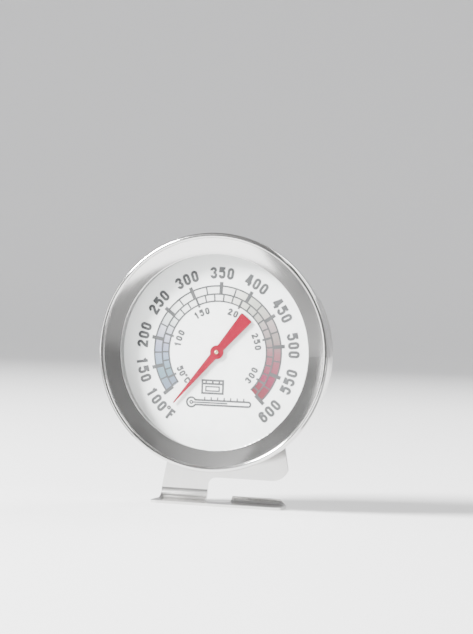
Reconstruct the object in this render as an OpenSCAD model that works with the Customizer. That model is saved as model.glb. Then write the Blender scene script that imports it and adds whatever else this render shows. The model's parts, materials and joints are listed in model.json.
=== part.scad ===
// Dial oven thermometer: a swivelling round head on a bent sheet-steel stand.
// Millimetres. X to the right, Z up, the dial faces -Y, the stand rests on z = 0.

/* [Head] */
// Outside diameter of the rolled rim
rim_d = 70; // [50:0.5:90]
// Height of the dial axis above the resting surface
axis_h = 45.6; // [40:0.1:60]
// Radius of the rolled bead on the rim
bead_r = 0.8; // [0.5:0.1:1.5]
// Radius of the window inside the bezel
window_r = 28.9; // [20:0.1:40]
// How far the bezel's inner lip is sunk behind the bead
lip_sink = 1.0; // [0.2:0.1:3]
// Thickness of the bezel sheet
bezel_t = 0.45; // [0.3:0.05:1]
// Outside radius of the cup behind the rim
cup_r = 32.2; // [25:0.1:42]
// Thickness of the cup sheet
cup_t = 0.6; // [0.4:0.05:1.2]
// Depth of the cup's back face behind the bead
cup_back = 18; // [14:0.1:25]
// Thickness of the glass
glass_t = 1.6; // [1:0.1:3]
// Gap between the glass and the dial
dial_gap = 2.6; // [1.5:0.05:4]
// Inside radius of the spacer ring between the glass and the dial
spacer_r = 29.15; // [25:0.05:31]
// Thickness of the dial plate
dial_t = 0.4; // [0.3:0.05:1]

/* [Scale] */
// Radius of the outer scale arc
arc_out = 19.5; // [10:0.1:28]
// Radius of the middle scale arc
arc_mid = 17.1; // [10:0.1:28]
// Radius of the inner scale arc
arc_in = 15; // [8:0.1:28]
// Line width of the arcs
arc_w = 0.48; // [0.1:0.01:0.8]
// Width of the bold ticks
bold_w = 1.1; // [0.3:0.05:2]
// Width of the fine ticks
fine_w = 0.46; // [0.1:0.01:0.8]
// Width of the ticks at every 50 degrees Celsius
mid_w = 0.65; // [0.1:0.01:1]
// Clockwise angle from the top to the 350 degree mark
scale_mid = 1.6; // [-20:0.1:20]
// Degrees of dial per degree Fahrenheit at the 350 degree mark
scale_rate = 0.5496; // [0.3:0.0001:0.7]
// Thickness of the printed layer
ink_t = 0.06; // [0.02:0.01:0.2]

/* [Pointer] */
// Clockwise angle from the top at which the pointer rests
pointer_rest = -140.2; // [-170:0.1:170]
// Length of the needle from the axis
needle_l = 20.1; // [10:0.1:27]
// Length of the tail from the axis
tail_l = 13.8; // [5:0.1:20]
// Width of the tail at its end
tail_w = 4.2; // [1:0.1:8]
// Radius of the pointer's hub
hub_r = 2.05; // [1:0.05:4]
// Thickness of the pointer
pointer_t = 0.3; // [0.2:0.05:1]

/* [Stand] */
// Half the width of the foot
foot_half = 20.3; // [12:0.1:35]
// Depth of the foot, from its front edge to the back of the plate
foot_depth = 13; // [8:0.1:40]
// Thickness of the stand's sheet
stand_t = 0.8; // [0.5:0.1:2]
// Inside radius of the bend
bend_r = 3.0; // [0.8:0.1:6]
// Narrowing of the plate on each side, per millimetre of height
plate_taper = 0.176; // [0:0.001:0.4]
// Height of the hook slot's upper edge
slot_top = 7.5; // [5:0.1:14]
// Height of the hook slot's lower edge
slot_low = 2.3; // [1:0.1:6]
// Left end of the hook slot
slot_left = -5.8; // [-16:0.1:5]
// Width of the wire seat cut into the foot
seat_w = 8; // [4:0.1:12]
// How far the wire seat stays behind the front edge
seat_back = 6; // [2:0.1:8]
// Radius of the mouth's upper corner
mouth_r = 5.2; // [1:0.1:9]
// Radius of the finger's tip
tip_r = 5.8; // [1:0.1:9]

/* [Hidden] */

rim_r = rim_d / 2;
bead_c = rim_r - bead_r;                 // centre radius of the bead
dish_in = 11.5;                          // slope of the bezel's cone at the window
dish_out = 15.9;                         // slope of the bezel's cone at the bead
dish_r = (bead_c - 0.82 - window_r) / (sin(dish_out) - sin(dish_in));
flange_d = 2.05;                         // front face of the cup's flange
flange_t = cup_t;
glass_d = lip_sink + bezel_t;            // front face of the glass
dial_d = glass_d + glass_t + dial_gap;   // front face of the dial
back_d = dial_d + dial_t;                // back face of the dial
well_r = cup_r - cup_t;                  // inside radius of the cup
sleeve_r = well_r - 0.1;
spacer_out = well_r - 0.15;
lens_r = well_r - 0.2;
dial_r = well_r - 0.4;
cup_round = 1.8;                         // outside radius of the cup's back edge
step_t = 0.45;                           // depth of the step pressed into the cup's back
crimp_r = 0.9;                           // radius of the bezel's fold behind the cup's flange
crimp_d = 2.3;                           // depth of that fold's centre
plate_d = cup_back + 0.6;                // front face of the stand's plate
plate_b = plate_d + stand_t;             // back face of the stand's plate
tail_d = plate_b + 1.2;                  // end of the rivet
y_mid = (tail_d - bead_r) / 2;           // puts the origin under the middle of the depth
pivot_r = 1.95;
hole_r = 2.0;
spin_r = 0.9;                            // radius of the spindle
pin_r = 0.6;                             // radius of its front end, in the pointer
stud_x = 12.1;                           // distance of the bridge's studs from the axis
stud_r = 0.55;
bridge_t = 0.8;                          // thickness of the bridge's strip
bridge_w = 8;
bridge_d = back_d + 7.9;                 // front face of the bridge's rear strap
bush_r = 2.4;
bush_flange = 3.2;
coil_d = back_d + 2.6;                   // front edge of the coil's strip
coil_w = 3.0;                            // width of the strip
coil_in = 2.9;                           // radius of the innermost half turn
coil_step = 0.95;                        // growth of the radius in a full turn
strip_t = 0.3;
ptr_d = dial_d - 0.65;                   // middle of the pointer's thickness
foot_d = plate_b - foot_depth;           // front edge of the foot
bend_o = bend_r + stand_t;
corner_r = 2.4;                          // front corners of the foot
slot_r = 2.6;                            // closed end of the hook slot
bend_c = plate_b - bend_o;               // depth of the bend's centre
arm_r = (foot_half + plate_taper * bend_o - plate_taper * axis_h) / sqrt(1 + plate_taper * plate_taper);

// points of an arc in the plane, from a0 to a1 degrees
function arc(cx, cy, r, a0, a1, n) =
  [for (i = [0 : n]) [cx + r * cos(a0 + (a1 - a0) * i / n), cy + r * sin(a0 + (a1 - a0) * i / n)]];
// dial angle, clockwise from the top, of a temperature
// the bimetal does not turn quite evenly, so the marks close up towards both ends
function at_f(f) = let (u = (f - 350) / 250)
  scale_mid + 250 * scale_rate * u - 0.32 * u * u - 5.49 * u * u * u + 1.87 * u * u * u * u;
function at_c(c) = at_f(c * 1.8 + 32);
// local y, measured back from the bead's plane
function yd(d) = d - y_mid;

// turns a profile drawn as [radius, depth] about the dial axis
module spin(n = 96) {
  translate([0, -y_mid, axis_h]) rotate([-90, 0, 0]) rotate_extrude($fn = n) children();
}
// a plain ring on the dial axis, from depth a to depth b
module ring(ro, ri, a, b, n = 96) {
  translate([0, yd(a), axis_h]) rotate([-90, 0, 0]) difference() {
    cylinder(r = ro, h = b - a, $fn = n);
    if (ri > 0) translate([0, 0, -1]) cylinder(r = ri, h = b - a + 2, $fn = n);
  }
}
// draws on a plane at depth d, x right and y up, growing towards the viewer
module on_dial(d) {
  translate([0, yd(d), axis_h]) rotate([90, 0, 0]) children();
}

module bezel_ring() {
  color([0.78, 0.78, 0.77]) union() {
    spin(128) polygon(concat(
      // the cone is dished a little, so it steepens towards the bead
      arc(window_r - dish_r * cos(90 - dish_in), lip_sink - dish_r * sin(90 - dish_in), dish_r,
        90 - dish_in, 90 - dish_out, 12),
      arc(bead_c, 0, bead_r, 190, 360, 16),
      arc(rim_r - crimp_r, crimp_d, crimp_r, 0, 90, 6),
      [[cup_r + 0.35, crimp_d + crimp_r], [cup_r + 0.35, crimp_d + crimp_r - bezel_t]],
      arc(rim_r - crimp_r, crimp_d, crimp_r - bezel_t, 90, 0, 4),
      [[rim_r - bezel_t, bezel_t], [bead_c - bezel_t, 0.42], [window_r, lip_sink + bezel_t]]));
    // the sheet is hemmed at the window, so its edge is round
    spin(128) translate([window_r, lip_sink + bezel_t / 2]) circle(r = bezel_t / 2, $fn = 24);
  }
}

module case_cup() {
  color([0.76, 0.76, 0.75]) difference() {
    spin(128) polygon(concat(
      [[rim_r - 0.75, flange_d], [rim_r - 0.75, flange_d + flange_t], [cup_r + 0.3, flange_d + flange_t]],
      arc(cup_r + 0.3, flange_d + flange_t + 0.3, 0.3, -90, -180, 4),
      arc(cup_r - cup_round, cup_back - cup_round, cup_round, 0, 90, 10),
      // the middle of the back is pressed in by a shallow step
      [[24.2, cup_back], [23.4, cup_back - step_t], [11.4, cup_back - step_t], [10.6, cup_back],
       [0, cup_back], [0, cup_back - cup_t], [11.0, cup_back - cup_t],
       [11.6, cup_back - cup_t - step_t], [23.2, cup_back - cup_t - step_t], [23.9, cup_back - cup_t]],
      arc(cup_r - cup_round, cup_back - cup_round, cup_round - cup_t, 90, 0, 8),
      [[well_r, flange_d]]));
    ring(pivot_r, 0, cup_back - 2, cup_back + 1, 48);
  }
}

module lens_glass() {
  color([0.85, 0.92, 0.93, 0.3]) ring(lens_r, 0, glass_d, glass_d + glass_t, 128);
}

// holds the glass off the dial; its wall shows as a line at the window's edge
module spacer_ring() {
  color([0.72, 0.72, 0.71]) ring(spacer_out, spacer_r, glass_d + glass_t, dial_d, 128);
}

module dial_plate() {
  color([0.95, 0.95, 0.94]) difference() {
    ring(dial_r, 1.4, dial_d, dial_d + dial_t, 128);
    // a notch locates the dial on the sleeve
    translate([0, yd(dial_d) - 1, axis_h - dial_r]) rotate([-90, 0, 0]) cylinder(r = 0.9, h = 3, $fn = 32);
  }
}

// one printed tick at clockwise angle t
module tick(t, r0, r1, w) {
  rotate([0, 0, -t]) translate([-w / 2, r0, 0]) cube([w, r1 - r0, ink_t]);
}
// one printed arc from clockwise angle t0 to t1
module scale_arc(r, t0, t1) {
  rotate([0, 0, 90 - t1]) rotate_extrude(angle = t1 - t0, $fn = 128)
    translate([r - arc_w / 2, 0]) square([arc_w, ink_t]);
}

module dial_scale() {
  color([0.35, 0.35, 0.37]) on_dial(dial_d) union() {
    scale_arc(arc_out, at_f(100), at_f(600));
    scale_arc(arc_mid, at_f(100), at_f(600));
    scale_arc(arc_in, at_f(100), at_f(600));
    for (f = [100 : 50 : 600]) tick(at_f(f), arc_mid, arc_out + 1.2, bold_w);
    for (f = [125 : 50 : 575]) tick(at_f(f), arc_mid, arc_out, fine_w);
    for (c = [40 : 10 : 310]) tick(at_c(c), arc_in, arc_mid, fine_w);
    for (c = [50 : 50 : 300]) tick(at_c(c), arc_in - 0.8, arc_mid, mid_w);
  }
}

// carries the dial and pushes it, the spacer and the glass against the bezel
module inner_sleeve() {
  color([0.74, 0.74, 0.72]) difference() {
    spin(128) polygon([[sleeve_r, back_d], [sleeve_r, cup_back - 1.9],
      [sleeve_r - 1.1, cup_back - cup_t], [sleeve_r - 1.7, cup_back - cup_t],
      [sleeve_r - 0.5, cup_back - 2.1], [sleeve_r - 0.5, back_d + 0.9],
      [sleeve_r - 1.6, back_d + 0.5], [sleeve_r - 1.6, back_d]]);
    // rolled from strip, so it has a joint at the bottom
    translate([-0.15, yd(dial_d), axis_h - 33]) cube([0.3, 16, 5]);
  }
}

module pivot_rivet() {
  color([0.7, 0.7, 0.69]) union() {
    ring(3.6, 0, cup_back - cup_t - 1.0, cup_back - cup_t, 64);
    ring(pivot_r, 0, cup_back - cup_t - 0.1, plate_b + 0.5, 64);
    // the upset tail is a low dome
    spin(64) polygon(concat([[0, plate_b + 0.4], [3.3, plate_b + 0.4]],
      arc(0, tail_d - 7.2, 7.2, 63, 90, 8)));
  }
}

module rivet_washer() {
  color([0.72, 0.72, 0.7]) ring(4.6, pivot_r, plate_b + 0.02, plate_b + 0.4, 64);
}

// a waved washer keeps the head where it is turned to
module friction_washer() {
  color([0.62, 0.62, 0.6]) spin(64) polygon([[pivot_r, cup_back + 0.18], [5.2, cup_back], [5.4, cup_back],
    [5.4, cup_back + 0.2], [pivot_r + 0.6, cup_back + 0.58], [pivot_r, cup_back + 0.58]]);
}

module stand_bracket() {
  color([0.8, 0.8, 0.79]) difference() {
    union() {
      // tapered upright plate with a round top about the rivet
      translate([0, yd(plate_b), 0]) rotate([90, 0, 0]) linear_extrude(height = stand_t) polygon([
        [-foot_half, bend_o], [foot_half, bend_o],
        [arm_r * cos(atan(plate_taper)), axis_h + arm_r * sin(atan(plate_taper))],
        [-arm_r * cos(atan(plate_taper)), axis_h + arm_r * sin(atan(plate_taper))]]);
      translate([0, yd(plate_b), axis_h]) rotate([90, 0, 0]) cylinder(r = arm_r, h = stand_t, $fn = 96);
      // bend
      intersection() {
        translate([-foot_half, yd(bend_c), bend_o]) rotate([0, 90, 0]) difference() {
          cylinder(r = bend_o, h = 2 * foot_half, $fn = 64);
          translate([0, 0, -1]) cylinder(r = bend_r, h = 2 * foot_half + 2, $fn = 64);
        }
        translate([-foot_half - 1, yd(bend_c), -1]) cube([2 * foot_half + 2, bend_o + 1, bend_o + 1]);
      }
      // foot
      translate([-foot_half, yd(foot_d), 0]) cube([2 * foot_half, bend_c - foot_d, stand_t]);
    }
    // hole for the rivet
    ring(hole_r, 0, plate_d - 1, plate_b + 1, 64);
    // hook slot, open to the right
    translate([slot_left + slot_r, yd(plate_d - 4), slot_low])
      cube([foot_half + 12, stand_t + 5, slot_top - slot_low]);
    translate([slot_left + slot_r, yd(plate_d - 4), slot_top - slot_r]) rotate([-90, 0, 0])
      cylinder(r = slot_r, h = stand_t + 5, $fn = 48);
    // wire seat: the slot's closed end runs on into the foot
    translate([slot_left, yd(foot_d + seat_back + seat_w / 2), -1])
      cube([seat_w, foot_depth - seat_back, slot_top - slot_r + 1]);
    translate([slot_left + seat_w / 2, yd(foot_d + seat_back + seat_w / 2), -1])
      cylinder(r = seat_w / 2, h = slot_top - slot_r + 1, $fn = 64);
    // rounded corner above the mouth
    difference() {
      translate([foot_half - mouth_r - 0.9, yd(plate_d - 1), slot_top - 1])
        cube([mouth_r + 4, stand_t + 2, mouth_r + 1]);
      translate([foot_half - mouth_r - 0.9, yd(plate_d - 2), slot_top + mouth_r]) rotate([-90, 0, 0])
        cylinder(r = mouth_r, h = stand_t + 4, $fn = 64);
    }
    // rounded tip of the finger
    difference() {
      translate([foot_half - tip_r, yd(plate_b - 0.6 - tip_r), -1])
        cube([tip_r + 2, tip_r + 2, slot_low + 1.5]);
      translate([foot_half - tip_r, yd(plate_b - 0.6 - tip_r), -2])
        cylinder(r = tip_r, h = slot_low + 4, $fn = 64);
    }
    // rounded front corners of the foot
    for (s = [-1, 1]) difference() {
      translate([s * (foot_half - corner_r) - (s < 0 ? corner_r + 1 : 0), yd(foot_d) - 1, -1])
        cube([corner_r + 1, corner_r + 1, stand_t + 2]);
      translate([s * (foot_half - corner_r), yd(foot_d + corner_r), -2])
        cylinder(r = corner_r, h = stand_t + 4, $fn = 48);
    }
  }
}

// strap fixed behind the dial that carries both bushes
module movement_bridge() {
  color([0.72, 0.7, 0.62]) difference() {
    union() {
      translate([-13, yd(back_d), axis_h - bridge_w / 2]) cube([26, bridge_t, bridge_w]);
      for (s = [-1, 1]) translate([s * 10.6 - bridge_t / 2, yd(back_d + 0.7), axis_h - bridge_w / 2])
        cube([bridge_t, bridge_d - back_d + 0.1, bridge_w]);
      translate([-11, yd(bridge_d), axis_h - bridge_w / 2]) cube([22, bridge_t, bridge_w]);
    }
    ring(bush_r, 0, back_d - 1, bridge_d + 2.1, 48);
    for (s = [-1, 1]) translate([s * stud_x, yd(back_d) - 1, axis_h]) rotate([-90, 0, 0])
      cylinder(r = stud_r, h = 3, $fn = 32);
  }
}

module bridge_studs() {
  color([0.7, 0.7, 0.68]) for (s = [-1, 1])
    translate([s * stud_x, yd(back_d), axis_h]) rotate([-90, 0, 0]) union() {
      cylinder(r = stud_r, h = 1.0, $fn = 32);
      translate([0, 0, bridge_t]) cylinder(r = 0.88, h = 0.5, $fn = 32);
    }
}

module front_bush() {
  color([0.8, 0.65, 0.32]) union() {
    ring(bush_r, spin_r + 0.05, back_d, back_d + bridge_t, 48);
    ring(bush_flange, spin_r + 0.05, back_d + bridge_t, back_d + bridge_t + 0.5, 48);
  }
}

module rear_bush() {
  color([0.8, 0.65, 0.32]) union() {
    ring(bush_flange, spin_r + 0.05, bridge_d - 0.5, bridge_d, 48);
    ring(bush_r, spin_r + 0.05, bridge_d, bridge_d + bridge_t, 48);
  }
}

// spiral strip drawn as half rings whose centres step across the axis
module bimetal_coil() {
  color([0.66, 0.55, 0.42]) translate([0, yd(coil_d), axis_h]) rotate([-90, 0, 0]) union() {
    for (i = [0 : 6]) translate([i % 2 == 0 ? 0 : coil_step / 2, 0, 0])
      rotate([0, 0, i % 2 == 0 ? 0 : 180]) rotate_extrude(angle = 180, $fn = 64)
        translate([coil_in + i * coil_step / 2, 0]) square([strip_t, coil_w]);
  }
}

// post on the bridge's leg that grips the coil's outer end
module coil_anchor() {
  color([0.7, 0.7, 0.68]) difference() {
    translate([5.4, yd(coil_d), axis_h - 1.2]) cube([4.8, coil_w, 1.2]);
    translate([5.4, yd(coil_d) - 1, axis_h - 1.3]) cube([0.85, coil_w + 2, 1.5]);
  }
}

module coil_collet() {
  color([0.8, 0.65, 0.32]) ring(1.9, spin_r, coil_d + 0.3, coil_d + coil_w - 0.3, 48);
}

module spindle() {
  color([0.82, 0.7, 0.42]) union() {
    ring(pin_r, 0, ptr_d - 0.5, dial_d - 0.4, 48);
    // low dome on the front end
    spin(48) polygon(concat([[0, ptr_d - 0.5]], arc(0, ptr_d - 0.15, 0.7, -30, -90, 6)));
    ring(spin_r, 0, dial_d - 0.5, back_d + 10.0, 48);
  }
}

module pointer_boss() {
  color([0.82, 0.7, 0.42]) ring(1.3, spin_r, ptr_d + pointer_t / 2 + 0.02, dial_d - 0.08, 48);
}

// needle and tail cut from one sheet
module pointer() {
  color([0.83, 0.1, 0.12]) on_dial(ptr_d + pointer_t / 2) rotate([0, 0, -pointer_rest]) difference() {
    union() {
      cylinder(r = hub_r, h = pointer_t, $fn = 64);
      linear_extrude(height = pointer_t)
        polygon([[-1.2, 0], [1.2, 0], [0.18, needle_l], [-0.18, needle_l]]);
      linear_extrude(height = pointer_t) polygon(concat([[1.0, 0], [-1.0, 0]],
        arc(-tail_w / 2 + 0.5, -tail_l + 0.45, 0.45, 187, 270, 6),
        arc(tail_w / 2 - 0.5, -tail_l + 0.45, 0.45, -90, -7, 6)));
    }
    translate([0, 0, -1]) cylinder(r = pin_r, h = 3, $fn = 48);
  }
}

module thrust_washer() {
  color([0.7, 0.7, 0.68]) ring(1.9, spin_r, bridge_d + bridge_t + 0.1, bridge_d + bridge_t + 0.6, 48);
}

stand_bracket();
case_cup();
bezel_ring();
lens_glass();
spacer_ring();
dial_plate();
dial_scale();
inner_sleeve();
pivot_rivet();
rivet_washer();
friction_washer();
movement_bridge();
bridge_studs();
front_bush();
rear_bush();
coil_anchor();
bimetal_coil();
spindle();
pointer();
pointer_boss();
coil_collet();
thrust_washer();
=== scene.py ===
import json
import math

import bmesh
import bpy
from mathutils import Matrix, Vector
from mathutils.geometry import delaunay_2d_cdt


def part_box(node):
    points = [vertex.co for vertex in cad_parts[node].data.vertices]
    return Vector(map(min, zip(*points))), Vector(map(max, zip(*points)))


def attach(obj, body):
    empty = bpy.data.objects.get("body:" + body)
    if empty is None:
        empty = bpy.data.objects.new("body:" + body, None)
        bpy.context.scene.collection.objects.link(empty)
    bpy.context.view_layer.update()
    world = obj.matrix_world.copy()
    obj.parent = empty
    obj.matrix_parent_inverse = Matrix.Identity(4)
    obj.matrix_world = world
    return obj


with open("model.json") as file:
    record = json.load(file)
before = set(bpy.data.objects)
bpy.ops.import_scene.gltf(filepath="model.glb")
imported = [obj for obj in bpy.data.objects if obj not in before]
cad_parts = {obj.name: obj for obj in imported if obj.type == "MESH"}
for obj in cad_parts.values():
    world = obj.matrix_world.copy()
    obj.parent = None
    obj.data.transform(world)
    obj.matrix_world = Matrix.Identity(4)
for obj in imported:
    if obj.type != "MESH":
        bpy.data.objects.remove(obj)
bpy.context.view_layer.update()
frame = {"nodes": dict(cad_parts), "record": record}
nodes = frame["nodes"]

MM = 0.001
bezel_lo, bezel_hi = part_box("bezel_ring")
AXIS_Z = (bezel_lo.z + bezel_hi.z) / 2
BEAD_Y = bezel_lo.y + 0.8 * MM                      # plane of the bead's centre
DIAL_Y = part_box("dial_plate")[0].y                  # front face of the dial
RIM = Vector((0, BEAD_Y, AXIS_Z))


def at_f(f):
    """Clockwise angle of a temperature on the dial: the marks close up towards both ends."""
    u = (f - 350) / 250
    return 1.6 + 137.4 * u - 0.32 * u * u - 5.49 * u ** 3 + 1.87 * u ** 4


def at_c(c):
    return at_f(c * 1.8 + 32)


def add_object(name, data):
    o = bpy.data.objects.new(name, data)
    bpy.context.scene.collection.objects.link(o)
    return o


# ---------------------------------------------------------------- camera
AZ = math.radians(17.4)                             # to the right of the dial's axis
DIST, RISE = 0.645, 0.0198                          # from the rim's centre, and above it
ROLL = math.radians(2.03)
AIM_RIGHT, AIM_UP = 0.0109905, 0.0160561            # of the aim point off the rim's centre, in DIST
LENS, SENSOR = 125.5, 36                            # mm

flat = math.sqrt(DIST ** 2 - RISE ** 2)
eye = RIM + Vector((flat * math.sin(AZ), -flat * math.cos(AZ), RISE))


def camera_axes(target):
    back = (eye - target).normalized()
    right = Vector((0, 0, 1)).cross(back).normalized()
    up = back.cross(right)
    c, s = math.cos(ROLL), math.sin(ROLL)
    return right * c + up * s, up * c - right * s, back


right, up, _ = camera_axes(RIM)
axes = camera_axes(RIM + (right * AIM_RIGHT + up * AIM_UP) * DIST)
cam_data = bpy.data.cameras.new("Camera")
cam_data.lens, cam_data.sensor_width = LENS, SENSOR
cam_data.clip_start, cam_data.clip_end = 0.01, 20
cam = add_object("Camera", cam_data)
cam.matrix_world = Matrix.Translation(eye) @ Matrix(axes).transposed().to_4x4()
bpy.context.scene.camera = cam


# ---------------------------------------------------------------- node helpers
def darker(colour, share):
    return tuple(c * share for c in colour)


class Mat:
    """A node material with short calls for the nodes used here. Sockets say where on the part the surface is:
    pos with its x and y, zc above the dial's axis, r from that axis (metres), clockwise angle (radians)."""

    def __init__(self, name):
        self.m = bpy.data.materials.new(name)
        self.m.use_nodes = True
        self.t = self.m.node_tree
        self.t.nodes.clear()
        self.out = self.node("ShaderNodeOutputMaterial")
        self.pos = self.node("ShaderNodeTexCoord").outputs["Object"]
        split = self.node("ShaderNodeSeparateXYZ")
        self.put(split.inputs[0], self.pos)
        self.x, self.y, z = split.outputs
        self.zc = self.sub(z, AXIS_Z)
        self.r = self.math("SQRT", self.add(self.mul(self.x, self.x), self.mul(self.zc, self.zc)))
        self.angle = self.math("ARCTAN2", self.x, self.zc)

    def node(self, kind, **props):
        n = self.t.nodes.new(kind)
        for k, v in props.items():
            setattr(n, k, v)
        return n

    def put(self, socket, value):
        if isinstance(value, bpy.types.NodeSocket):
            self.t.links.new(value, socket)
        else:
            socket.default_value = value

    def math(self, op, a, b=0.0, clamp=False):
        n = self.node("ShaderNodeMath", operation=op, use_clamp=clamp)
        self.put(n.inputs[0], a)
        self.put(n.inputs[1], b)
        return n.outputs[0]

    def add(self, a, b):
        return self.math("ADD", a, b)

    def sub(self, a, b):
        return self.math("SUBTRACT", a, b)

    def mul(self, a, b):
        return self.math("MULTIPLY", a, b)

    def step(self, v, a, b, kind="SMOOTHSTEP"):
        """0 below a and 1 above b."""
        n = self.node("ShaderNodeMapRange", interpolation_type=kind)
        for k, x in (("Value", v), ("From Min", a), ("From Max", b), ("To Min", 0.0), ("To Max", 1.0)):
            self.put(n.inputs[k], x)
        return n.outputs[0]

    def band(self, v, a, b, soft):
        """1 between a and b, with edges twice as wide as soft."""
        return self.mul(self.step(v, a - soft, a + soft), self.sub(1.0, self.step(v, b - soft, b + soft)))

    def mix(self, f, a, b):
        n = self.node("ShaderNodeMix", data_type="RGBA")
        self.put(n.inputs[0], f)
        for i, v in ((6, a), (7, b)):
            self.put(n.inputs[i], v if isinstance(v, bpy.types.NodeSocket) else (*v, 1))
        return n.outputs[2]

    def ramp(self, v, stops):
        n = self.node("ShaderNodeValToRGB")
        while len(n.color_ramp.elements) < len(stops):
            n.color_ramp.elements.new(0.5)
        for e, (p, c) in zip(n.color_ramp.elements, stops):
            e.position, e.color = p, (*c, 1)
        self.put(n.inputs[0], v)
        return n.outputs[0]

    def vec(self, x, y, z):
        n = self.node("ShaderNodeCombineXYZ")
        for i, v in enumerate((x, y, z)):
            self.put(n.inputs[i], v)
        return n.outputs[0]

    def noise(self, vector, scale, detail=3.0, rough=0.55):
        n = self.node("ShaderNodeTexNoise")
        self.put(n.inputs["Vector"], vector)
        for k, v in (("Scale", scale), ("Detail", detail), ("Roughness", rough)):
            self.put(n.inputs[k], v)
        return n.outputs[0]

    def bump(self, height, strength, depth_mm):
        n = self.node("ShaderNodeBump")
        for k, v in (("Height", height), ("Strength", strength), ("Distance", depth_mm * MM)):
            self.put(n.inputs[k], v)
        return n.outputs[0]

    def principled(self, **values):
        n = self.node("ShaderNodeBsdfPrincipled")
        for k, v in values.items():
            self.put(n.inputs[k.replace("_", " ")], (*v, 1) if isinstance(v, tuple) else v)
        return n.outputs[0]

    def surface(self, shader):
        self.put(self.out.inputs["Surface"], shader)
        return self.m


def turned(name, base, rough, pitch=0.22, depth=0.004, aniso=0.35):
    """Sheet metal spun or turned about the dial axis: fine rings, faint smears, light handling marks."""
    m = Mat(name)
    per_m = 1000 / pitch
    # the sine of the angle has no seam behind
    ring = m.vec(m.mul(m.r, per_m), m.mul(m.y, per_m), m.mul(m.math("SINE", m.angle), 1.5))
    lines = m.noise(ring, 1.0, 4, 0.7)
    wide = m.noise(m.pos, 95, 3, 0.5)
    fine = m.noise(m.pos, 900, 2, 0.5)
    tone = m.add(m.mul(lines, 0.5), m.mul(wide, 0.5))
    tangent = m.node("ShaderNodeTangent", direction_type="RADIAL", axis="Y").outputs[0]
    return m.surface(m.principled(
        Base_Color=m.mix(m.step(tone, 0.36, 0.62), darker(base, 0.9), base), Metallic=1.0,
        Roughness=m.add(rough - 0.035, m.add(m.mul(wide, 0.05), m.mul(lines, 0.035))),
        Anisotropic=aniso, Tangent=tangent, Normal=m.bump(m.add(lines, m.mul(fine, 0.25)), 0.35, depth)))


def brushed(name, base, rough, along="Z"):
    """Flat sheet with a straight rolled grain, a few scratches and duller patches."""
    m = Mat(name)
    fine, drawn = 1000 / 0.16, 1000 / 6.0           # grain per metre, across it and along it
    across, lengthwise = (m.x, m.zc) if along == "Z" else (m.zc, m.x)
    grain = m.noise(m.vec(m.mul(across, fine), m.mul(lengthwise, drawn), m.mul(m.y, fine)), 1.0, 4, 0.65)
    cloud = m.noise(m.pos, 60, 4, 0.6)
    slant = m.vec(m.mul(m.add(m.x, m.zc), 1400), m.mul(m.sub(m.x, m.zc), 90), m.mul(m.y, 200))
    hair = m.step(m.noise(slant, 1.0, 2, 0.4), 0.70, 0.78)
    tone = m.add(m.mul(grain, 0.6), m.mul(cloud, 0.4))
    return m.surface(m.principled(
        Base_Color=m.mix(m.step(tone, 0.38, 0.62), darker(base, 0.9), base), Metallic=1.0,
        Roughness=m.add(rough - 0.04, m.add(m.mul(cloud, 0.07), m.mul(hair, 0.08))),
        Normal=m.bump(m.sub(grain, m.mul(hair, 0.5)), 0.3, 0.006)))


def painted(name, base, rough, grain, skin, **more):
    """Sprayed or printed colour: faint mottling and a fine orange-peel skin."""
    m = Mat(name)
    cloud = m.noise(m.pos, 160, 3, 0.5)
    peel = m.noise(m.pos, grain, 2, 0.5)
    tone = m.add(m.mul(cloud, 0.7), m.mul(peel, 0.3))
    return m.surface(m.principled(
        Base_Color=m.mix(m.step(tone, 0.34, 0.6), darker(base, 0.92), base),
        Roughness=m.add(rough - 0.04, m.mul(cloud, 0.08)), Normal=m.bump(peel, 0.35, skin), **more))


ZONES_IN, ZONES_OUT = 15.0, 19.5                    # mm, radii of the coloured zones
ZONES = [                                           # share of the scale's sweep, colour
    (0.022, (0.12, 0.15, 0.205)), (0.067, (0.11, 0.175, 0.205)), (0.114, (0.165, 0.21, 0.28)),
    (0.162, (0.21, 0.22, 0.31)), (0.211, (0.36, 0.36, 0.43)), (0.262, (0.48, 0.51, 0.50)),
    (0.339, (0.72, 0.72, 0.71)), (0.495, (0.70, 0.70, 0.69)), (0.572, (0.52, 0.51, 0.465)),
    (0.624, (0.34, 0.35, 0.31)), (0.675, (0.30, 0.29, 0.26)), (0.727, (0.25, 0.20, 0.20)),
    (0.777, (0.18, 0.155, 0.145)), (0.828, (0.18, 0.072, 0.085)), (0.878, (0.165, 0.045, 0.063)),
    (0.927, (0.155, 0.017, 0.046)), (0.976, (0.13, 0.017, 0.027))]


def dial_paint():
    """White dial with its printed colour zones between the scale arcs."""
    m = Mat("dial_white")
    deg = m.mul(m.angle, 180 / math.pi)
    lo, hi = at_f(100), at_f(600)
    paper = m.noise(m.pos, 420, 4, 0.6)
    cloud = m.noise(m.pos, 70, 2, 0.5)
    dots = m.noise(m.pos, 2600, 2, 0.5)
    tone = m.add(m.mul(paper, 0.5), m.mul(cloud, 0.5))
    white = m.mix(m.step(tone, 0.36, 0.6), (0.80, 0.80, 0.79), (0.86, 0.86, 0.85))
    zone = m.ramp(m.math("DIVIDE", m.sub(deg, lo), hi - lo, clamp=True), ZONES)
    printed_on = m.mul(m.band(m.mul(m.r, 1000), ZONES_IN, ZONES_OUT, 0.05), m.band(deg, lo, hi, 0.1))
    cover = m.math("MULTIPLY", printed_on, m.add(0.96, m.mul(dots, 0.08)), clamp=True)
    return m.surface(m.principled(
        Base_Color=m.mix(cover, white, zone), Roughness=m.add(0.42, m.mul(cloud, 0.08)),
        Normal=m.bump(paper, 0.25, 0.006), Specular_IOR_Level=0.2))


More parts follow.
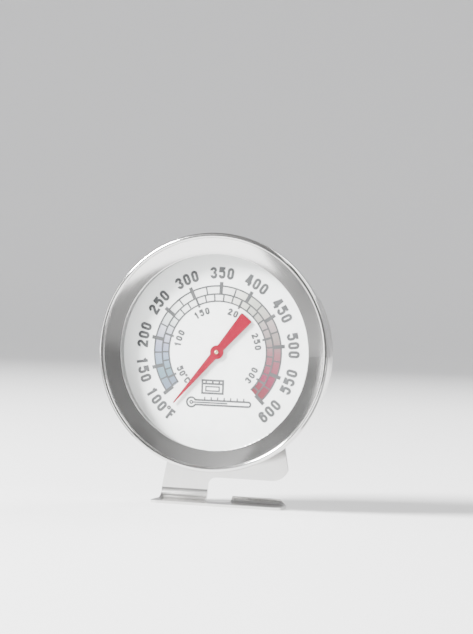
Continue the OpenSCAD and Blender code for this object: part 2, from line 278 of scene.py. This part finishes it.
def window_glass():
    """Clear pane. Rays from the lamps pass straight through, so the dial is lit."""
    m = Mat("lens")
    glass = m.principled(Base_Color=(0.985, 0.992, 0.99), Transmission_Weight=1.0, IOR=1.5,
                         Roughness=m.mul(m.noise(m.pos, 120, 3, 0.5), 0.02))
    clear = m.node("ShaderNodeBsdfTransparent")
    m.put(clear.inputs[0], (0.96, 0.97, 0.97, 1))
    path = m.node("ShaderNodeLightPath")
    mix = m.node("ShaderNodeMixShader")
    m.put(mix.inputs[0], m.math("MAXIMUM", path.outputs["Is Shadow Ray"], path.outputs["Is Diffuse Ray"]))
    m.put(mix.inputs[1], glass)
    m.put(mix.inputs[2], clear.outputs[0])
    return m.surface(mix.outputs[0])


def coil_strip():
    """Bimetal strip with the straw and blue tints that heat leaves."""
    m = Mat("coil_strip")
    tone = m.math("ADD", m.mul(m.r, 110), m.mul(m.noise(m.pos, 260, 3, 0.5), 0.5), clamp=True)
    rolled = m.noise(m.vec(m.mul(m.x, 600), m.mul(m.y, 9000), m.mul(m.zc, 600)), 1.0)
    return m.surface(m.principled(
        Base_Color=m.ramp(tone, [(0.0, (0.62, 0.55, 0.42)), (0.45, (0.55, 0.42, 0.30)),
                                 (0.75, (0.42, 0.34, 0.38)), (1.0, (0.36, 0.38, 0.48))]),
        Metallic=1.0, Roughness=m.add(0.26, m.mul(m.noise(m.pos, 900, 2), 0.12)),
        Normal=m.bump(rolled, 0.25, 0.005)))


looks = {
    "bezel_steel": turned("bezel_steel", (0.70, 0.695, 0.685), 0.095, aniso=0.25),
    "case_steel": turned("case_steel", (0.60, 0.595, 0.585), 0.27, pitch=0.3, depth=0.006),
    "stand_steel": brushed("stand_steel", (0.66, 0.655, 0.645), 0.20),
    "lens": window_glass(),
    # spacer ring: satin aluminium, partly painted shade: its base is darkened well below bare metal to stand
    # for the shade on the wall between dial and glass
    "spacer_satin": turned("spacer_satin", (0.34, 0.34, 0.335), 0.42, pitch=0.35, aniso=0.2),
    "dial_white": dial_paint(),
    "ink": painted("ink", (0.046, 0.046, 0.048), 0.5, 2600, 0.003),
    "sleeve_aluminium": turned("sleeve_aluminium", (0.74, 0.74, 0.73), 0.34, pitch=0.4),
    "rivet_steel": turned("rivet_steel", (0.58, 0.575, 0.565), 0.26, pitch=0.12, aniso=0.2),
    "washer_steel": turned("washer_steel", (0.54, 0.535, 0.525), 0.3, pitch=0.15, aniso=0.3),
    "bridge_steel": brushed("bridge_steel", (0.58, 0.57, 0.54), 0.32, along="X"),
    "bush_brass": turned("bush_brass", (0.74, 0.55, 0.25), 0.24, pitch=0.1),
    "coil_strip": coil_strip(),
    "spindle_brass": turned("spindle_brass", (0.86, 0.74, 0.46), 0.22, pitch=0.08, aniso=0.2),
    "pointer_red": painted("pointer_red", (0.19, 0.0, 0.014), 0.34, 1800, 0.004, Specular_IOR_Level=0.15),
}
for part in frame["record"]["subparts"]:
    mesh = nodes[part["node"]].data
    mesh.materials.clear()
    mesh.materials.append(looks[part["material_slot"]])


# ---------------------------------------------------------------- printed figures
# Flat strokes in mm about the dial's axis, x to the right and z up. A stroke is (points, closed).
INK_T = 0.05                                        # mm, thickness of the print
DEGREE = "\u00b0"


def bend(cx, cy, rx, ry, a0, a1, n=9):
    """Points of an elliptic arc, degrees from +X."""
    return [(cx + rx * math.cos(math.radians(a0 + (a1 - a0) * i / n)),
             cy + ry * math.sin(math.radians(a0 + (a1 - a0) * i / n))) for i in range(n + 1)]


def line(*points):
    return list(points), False


def rect(x0, z0, x1, z1):
    return [(x0, z0), (x1, z0), (x1, z1), (x0, z1)], True


def glyph(ch, w, h, s):
    """Strokes of a condensed figure w wide and h high, drawn s wide and centred on 0, 0."""
    a, top = w / 2 - s / 2, h / 2 - s / 2
    up, lo = top - a, -top + a                      # centres of the upper and lower bends
    foot = bend(0, lo, a, a, 0, -180) + [(-a, lo + 0.02 * h)]
    if ch == "0":
        return [(bend(0, up, a, a, 0, 180) + bend(0, lo, a, a, 180, 360), True)]
    if ch == "1":
        x = 0.06 * w
        return [line((x, -h / 2), (x, h / 2)), line((x, top - 0.05 * h), (x - 0.36 * w, top - 0.17 * h))]
    if ch == "2":
        neck = [(-a, up - 0.04 * h)] + bend(0, up, a, a, 180, -25)
        return [line(*neck, (-a + 0.03, -top + s * 0.35)), line((-w / 2, -top), (w / 2, -top))]
    if ch == "3":
        b = ((top - 0.02 * h) / 2 + 0.01 * h) * 0.62
        waist = (-0.22 * a, 0.02 * h)
        return [line((-a, up - 0.01 * h), *bend(0, up, a, a, 180, 0),
                     *bend(0, 0.02 * h + b, a, b, 0, -90, 6), waist),
                line(waist, *bend(0, 0.02 * h - b, a, b, 90, 0, 6), *foot)]
    if ch == "4":
        x, y = 0.2 * w, -0.2 * h
        return [line((x, -h / 2), (x, h / 2)), line((-w / 2, y), (w / 2 + 0.02 * w, y)),
                line((-a + 0.02, y), (x - 0.12 * w, h / 2))]
    if ch == "5":
        b = 0.07 * h
        return [line((w / 2 - 0.06 * w, top), (-a + 0.04 * w, top), (-a, b - 0.05 * h)),
                line((-a, b - 0.02 * h), *bend(0, b - 0.01 * h, a, 0.1 * h, 165, 90, 5),
                     *bend(0, b + 0.09 * h - a, a, a, 90, 0, 6), *foot)]
    if ch == "6":
        c = 0.11 * h - a
        return [(bend(0, c, a, a, 0, 180) + bend(0, lo, a, a, 180, 360), True),
                line((-a, c), *bend(0, up, a, a, 180, 0), (a, up - 0.01 * h))]
    if ch == "C":
        return [line((a, up - 0.02 * h), *bend(0, up, a, a, 0, 180), *bend(0, lo, a, a, 180, 360),
                     (a, lo + 0.02 * h))]
    if ch == "F":
        return [line((-a, -h / 2), (-a, h / 2)), line((-w / 2, top), (w / 2 - 0.04 * w, top)),
                line((-a, 0.03 * h), (w / 2 - 0.16 * w, 0.03 * h))]
    r = 0.11 * h                                    # degree sign
    return [(bend(0, h / 2 - r - s * 0.25, r, r, 0, 360, 16)[:-1], True)]


def outline(points, closed, s):
    """The two sides of a stroke, mitred at its corners."""
    n, left, right = len(points), [], []
    for i, p in enumerate(points):
        p = Vector(p)
        before = p - Vector(points[(i - 1) % n]) if closed or i > 0 else None
        after = Vector(points[(i + 1) % n]) - p if closed or i < n - 1 else None
        before = before.normalized() if before is not None and before.length > 1e-6 else None
        after = after.normalized() if after is not None and after.length > 1e-6 else None
        before, after = before or after, after or before
        m = (before + after).normalized()
        side = Vector((-m.y, m.x)) * (s / 2 / max(0.35, m.dot(before)))
        left.append(p + side)
        right.append(p - side)
    return left, right


def inside(p, quad):
    return all((b.x - a.x) * (p.y - a.y) - (b.y - a.y) * (p.x - a.x) >= -1e-9
               for a, b in zip(quad, quad[1:] + quad[:1]))


def flat_shape(strokes, s):
    """Triangles of the union of the strokes, with no overlaps. A bend whose radius is not more than half the
    stroke folds over and is lost."""
    verts, edges, quads = [], [], []
    for points, closed in strokes:
        left, right = outline(points, closed, s)
        n, k = len(left), len(verts)
        verts += left + right
        for i in range(n if closed else n - 1):
            j = (i + 1) % n
            edges += [(k + i, k + j), (k + n + i, k + n + j)]
            quads.append([right[i], right[j], left[j], left[i]])
        if not closed:
            edges += [(k, k + n), (k + n - 1, k + 2 * n - 1)]
    v, _, f, *_ = delaunay_2d_cdt(verts, edges, [], 0, 1e-5)
    centres = [sum((v[i] for i in t), Vector((0, 0))) / len(t) for t in f]
    return v, [t for t, c in zip(f, centres) if any(inside(c, q) for q in quads)]


def printed(name, shapes):
    """One object from several flat shapes: [(strokes, stroke width, angle of the shape, x, z)]."""
    bm = bmesh.new()
    for strokes, s, turn, px, pz in shapes:
        v, f = flat_shape(strokes, s)
        c, n = math.cos(turn), math.sin(turn)
        front = [bm.verts.new(((px + p.x * c + p.y * n) * MM, DIAL_Y - INK_T * MM,
                               AXIS_Z + (pz - p.x * n + p.y * c) * MM)) for p in v]
        tris = [bm.faces.new([front[i] for i in t]) for t in f]
        border = [e for t in tris for e in t.edges if len(e.link_faces) == 1]
        low = {}
        for w in (w for e in border for w in e.verts):
            if w not in low:
                low[w] = bm.verts.new((w.co.x, DIAL_Y, w.co.z))
        for e in border:
            a, b = e.verts
            bm.faces.new((a, b, low[b], low[a]))
    for w in [w for w in bm.verts if not w.link_faces]:
        bm.verts.remove(w)
    bmesh.ops.recalc_face_normals(bm, faces=bm.faces)
    if sum(f.normal.y * f.calc_area() for f in bm.faces) > 0:
        bmesh.ops.reverse_faces(bm, faces=bm.faces)
    me = bpy.data.meshes.new(name)
    bm.to_mesh(me)
    bm.free()
    me.materials.append(looks["ink"])
    o = add_object(name, me)
    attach(o, "head")


def figure(name, text, angle, radius, w, h, s, pitch, signs):
    """Characters set one by one along an arc. Past the horizontal their feet turn outwards, so they still
    read. The degree sign and the letter stand at signs after the last digit, in pitches."""
    upside = abs((angle + 180) % 360 - 180) > 95
    digits = sum(ch.isdigit() for ch in text)
    last = (digits - 1) / 2
    shapes = []
    for i, ch in enumerate(text):
        at = i - last if i < digits else last + signs[i - digits]
        step = math.degrees(at * pitch / radius)
        a = math.radians(angle - step if upside else angle + step)
        thin = s * 0.6 if ch == DEGREE else s
        shapes.append((glyph(ch, w * (0.84 if ch == "F" else 1), h, thin), thin,
                       a + math.pi if upside else a, radius * math.sin(a), radius * math.cos(a)))
    printed(name, shapes)


for f in range(100, 601, 50):
    figure(f"figure_f_{f}", f"100{DEGREE}F" if f == 100 else str(f), at_f(f),
           23.5 if f in (100, 150, 550, 600) else 23.35, 2.1, 3.5, 0.84, 2.62, (0.72, 1.4))
for c in range(50, 301, 50):
    figure(f"figure_c_{c}", f"50{DEGREE}C" if c == 50 else str(c), at_c(c),
           12.5, 1.36, 2.12, 0.57, 1.62 if c == 50 else 1.8, (0.72, 1.5))

# a small oven and a lying thermometer say what the dial is for
OVEN_X = -1.1
printed("mark_oven", [
    ([rect(-3.2, -1.9, 3.2, 1.9), line((-3.2, 0.9), (3.2, 0.9))], 0.6, 0, OVEN_X, -10.3),
    ([rect(-2.05, -1.15, 2.05, 0.1)], 0.45, 0, OVEN_X, -10.35),
    ([line((x - half, 0), (x + half, 0)) for x, half in ((-2.025, 0.275), (0, 0.28), (2.025, 0.275))],
     0.46, 0, OVEN_X, -8.92)])
BULB_X, TUBE_R = -8.1, 0.7
TUBE_AT = (0, 0.6, -15.0)                           # angle, x, z
tube = bend(9.4, 0, TUBE_R, TUBE_R, -90, 90, 10) + [(-6.4, TUBE_R)]
tube += bend(BULB_X, 0, 1.4, 1.4, 30, 330, 22) + [(-6.4, -TUBE_R)]
printed("mark_thermometer", [
    ([(tube, True)], 0.58, *TUBE_AT),
    ([(bend(BULB_X, 0, 0.42, 0.42, 0, 360, 14)[:-1], True), line((-7.6, 0), (3.0, 0))], 0.44, *TUBE_AT),
    ([line((x, 0.9), (x, 1.7)) for x in range(-4, 9, 2)], 0.42, *TUBE_AT)])

# ---------------------------------------------------------------- stage and light
FLOOR_R, CURVE_R = 1.15, 0.55                       # metres: flat floor, and the curve up to the wall
SIDES = 96
profile = [(0.7, 0.0), (FLOOR_R, 0.0)]
profile += [(FLOOR_R + CURVE_R * math.sin(math.radians(a)), CURVE_R - CURVE_R * math.cos(math.radians(a)))
            for a in range(6, 91, 6)]
profile += [(FLOOR_R + CURVE_R, 1.3), (FLOOR_R + CURVE_R, 2.1)]
turns = [2 * math.pi * i / SIDES for i in range(SIDES)]
bm = bmesh.new()
rings = [[bm.verts.new((r * math.cos(t), r * math.sin(t), z)) for t in turns] for r, z in profile]
centre = bm.verts.new((0, 0, 0))
for i in range(SIDES):
    j = (i + 1) % SIDES
    bm.faces.new((centre, rings[0][i], rings[0][j]))
    for a, b in zip(rings, rings[1:]):
        bm.faces.new((a[i], b[i], b[j], a[j]))
me = bpy.data.meshes.new("studio_floor")
bm.to_mesh(me)
bm.free()
for p in me.polygons:
    p.use_smooth = True
# pale near the part, darker far away and on the wall, which the bezel mirrors
m = Mat("studio_paper")
out = m.math("SQRT", m.add(m.mul(m.x, m.x), m.mul(m.y, m.y)))
paper = m.mix(m.noise(m.pos, 3, 2), (0.75, 0.75, 0.75), (0.78, 0.78, 0.78))
me.materials.append(m.surface(m.principled(
    Base_Color=m.mix(m.step(out, 0.45, 1.35), paper, (0.34, 0.34, 0.345)), Roughness=0.75,
    Specular_IOR_Level=0.2)))
add_object("studio_floor", me)

world = bpy.data.worlds.new("World")
bpy.context.scene.world = world
world.use_nodes = True
bg = world.node_tree.nodes["Background"]
bg.inputs[0].default_value = (1.0, 1.0, 1.0, 1)
bg.inputs[1].default_value = 0.35


def toward(az, el, dist):
    """A point seen from the rim: az degrees to the right of straight ahead, el degrees up."""
    a, e = math.radians(az), math.radians(el)
    return RIM + Vector((math.sin(a) * math.cos(e), -math.cos(a) * math.cos(e), math.sin(e))) * dist


def softbox(name, az, el, dist, w, h, power):
    d = bpy.data.lights.new(name, "AREA")
    d.shape, d.size, d.size_y, d.energy = "RECTANGLE", w, h, power
    o = add_object(name, d)
    o.location = toward(az, el, dist)
    o.rotation_euler = (RIM - o.location).to_track_quat("-Z", "Y").to_euler()
    o.visible_camera = False


def card(name, az0, az1, el0, el1, dist, shade0, shade1):
    """A matt card seen in reflections and through the glass: a patch of a sphere about the rim, laid on the
    floor where it would go under it. Its shade runs from the first edge to the second."""
    na, ne = 24, 16
    above_floor = AXIS_Z - 0.8 * MM
    verts = []
    for j in range(ne + 1):
        el = el0 + (el1 - el0) * j / ne
        d = dist if el > -1 else min(dist, above_floor / math.sin(math.radians(-el)))
        verts += [toward(az0 + (az1 - az0) * i / na, el, d) for i in range(na + 1)]
    corners = [j * (na + 1) + i for j in range(ne) for i in range(na)]
    me = bpy.data.meshes.new(name)
    me.from_pydata(verts, [], [(k, k + 1, k + na + 2, k + na + 1) for k in corners])
    m = Mat(name)
    az = m.mul(m.math("ARCTAN2", m.x, m.sub(RIM.y, m.y)), 180 / math.pi)
    me.materials.append(m.surface(m.principled(
        Base_Color=m.mix(m.step(az, az0, az1, "LINEAR"), (shade0,) * 3, (shade1,) * 3), Roughness=0.95,
        Specular_IOR_Level=0.05)))
    o = add_object(name, me)
    o.visible_camera = o.visible_diffuse = o.visible_shadow = False


# name, azimuth, elevation (degrees), distance, width, height (metres), power (watts)
softbox("key", -54, 33, 1.2, 0.42, 0.42, 112.0)
softbox("side", -58.5, 3, 1.15, 0.56, 0.6, 6.5)
softbox("fill", 50, 35, 1.3, 0.8, 0.8, 9.0)
softbox("back", 150, 42, 1.3, 0.7, 0.7, 18.0)
# name, azimuths, elevations (degrees), distance (metres), shades
card("flag_front", -28, 50, -12.8, 15, 1.25, 0.075, 0.075)
card("flag_right", -45.5, -28, -18, 24, 1.24, 0.05, 0.08)
card("flag_high", -4, 50, 15, 48, 1.25, 0.06, 0.065)
card("flag_mid", -34, -4, 15, 48, 1.25, 0.26, 0.07)
card("flag_left_floor", -125, -56, -42, -3, 1.23, 0.16, 0.20)
card("flag_right_floor", 53, 125, -42, -3, 1.23, 0.20, 0.16)
